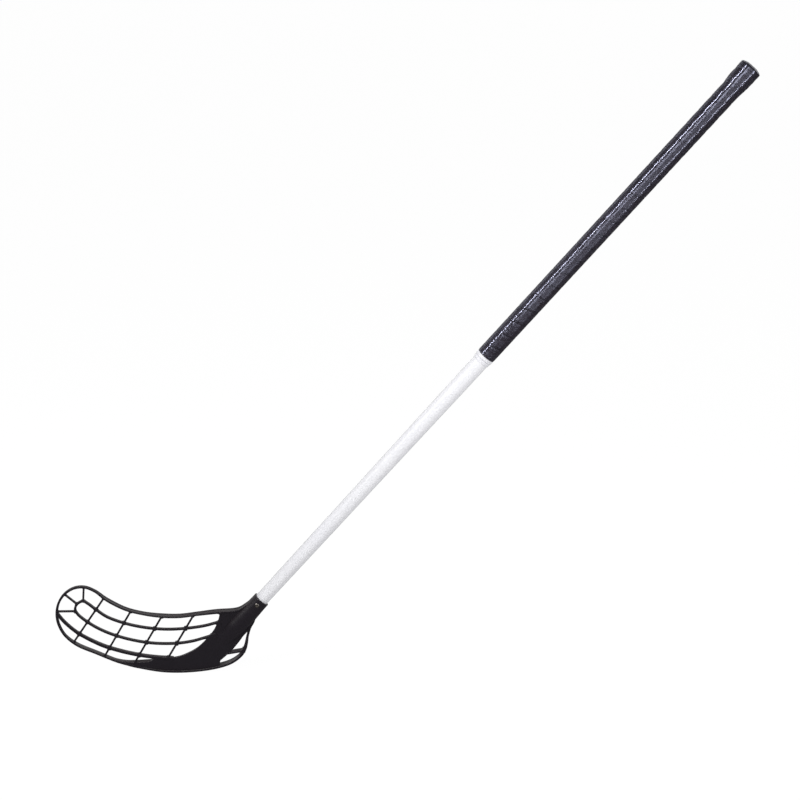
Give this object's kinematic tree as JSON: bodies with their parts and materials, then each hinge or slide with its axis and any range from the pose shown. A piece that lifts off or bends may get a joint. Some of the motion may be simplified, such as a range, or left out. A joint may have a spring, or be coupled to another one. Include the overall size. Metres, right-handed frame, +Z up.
{
  "type": "floorball stick",
  "caption": "Floorball stick with a hooked moulded lattice blade, a tapered straight shaft and a spirally wound grip ending in a rounded butt cap.",
  "frame": {"origin": "centre of the flat middle of the butt cap's end", "axes": "+Z up in the playing pose, with the blade's sole on the floor; +X from the blade's toe towards the butt end, so that the shaft rises along +X and +Z at 49.9 degrees to the floor; -Y the way the blade's open face looks"},
  "size_m": [0.8737, 0.0272, 0.8186],
  "materials": {
    "blade_plastic": "black injection-moulded polypropylene with a fine texture",
    "shaft_lacquer": "white gloss lacquer on a composite tube",
    "cap_rubber": "black, satin",
    "grip_polyurethane": "black polyurethane grip band, smooth",
    "tape_vinyl": "white adhesive tape, satin",
    "screw_steel": "blackened steel"
  },
  "bodies": {
    "root": {"blade": "blade_plastic", "shaft": "shaft_lacquer", "end_cap": "cap_rubber", "grip_band": "grip_polyurethane", "finishing_tape": "tape_vinyl", "blade_screw": "screw_steel"}
  },
  "joints": []
}
